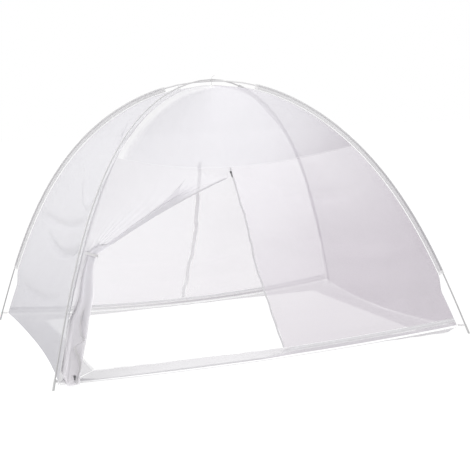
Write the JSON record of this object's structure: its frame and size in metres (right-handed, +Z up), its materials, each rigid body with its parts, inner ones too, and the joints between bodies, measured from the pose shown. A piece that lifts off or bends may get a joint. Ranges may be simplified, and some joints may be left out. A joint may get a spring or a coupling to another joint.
{
  "type": "pop-up mosquito net tent with its crossed rods",
  "caption": "Bottomless dome of sheer net hung from crossed bent rods, with one door half tied back and a skirt on the floor.",
  "frame": {"origin": "on the floor under the crossing of the rods, at the middle of the base", "axes": "+X along the length, to the right seen from outside the open door; -Y out of the open door; +Z up"},
  "size_m": [2.2974, 1.6873, 1.4487],
  "materials": {
    "net": "sheer mesh",
    "sleeve": "sheer mesh, doubled",
    "tape": "woven tape with a fine zip",
    "rod": "smooth glass-fibre rod",
    "tip": "moulded cap",
    "slider": "moulded, dark",
    "cord": "woven strap and cord"
  },
  "bodies": {
    "root": {"rod_front_left_to_back_right": "rod", "rod_back_left_to_front_right": "rod", "foot_tip_front_left": "tip", "foot_tip_front_right": "tip", "foot_tip_back_left": "tip", "foot_tip_back_right": "tip", "sleeve_front_left": "sleeve", "sleeve_front_right": "sleeve", "sleeve_back_left": "sleeve", "sleeve_back_right": "sleeve", "corner_strap_front_left": "cord", "corner_strap_front_right": "cord", "corner_strap_back_left": "cord", "corner_strap_back_right": "cord", "peak_tie": "cord", "left_wall": "net", "right_wall": "net", "front_upper_panel": "net", "back_upper_panel": "net", "front_door_left": "net", "front_door_right": "net", "back_door_left": "net", "back_door_right": "net", "front_sill": "net", "back_sill": "net", "front_skirt": "net", "right_skirt": "net", "back_skirt": "net", "left_skirt": "net", "back_zip": "tape", "front_zip_right_tape": "tape", "front_zip_left_tape": "tape", "back_bottom_zip": "tape", "front_bottom_zip": "tape", "front_sill_tape": "tape", "tie_back_band": "cord", "front_zip_slider": "slider", "back_zip_slider": "slider", "flap_zip_slider": "slider"}
  },
  "joints": []
}
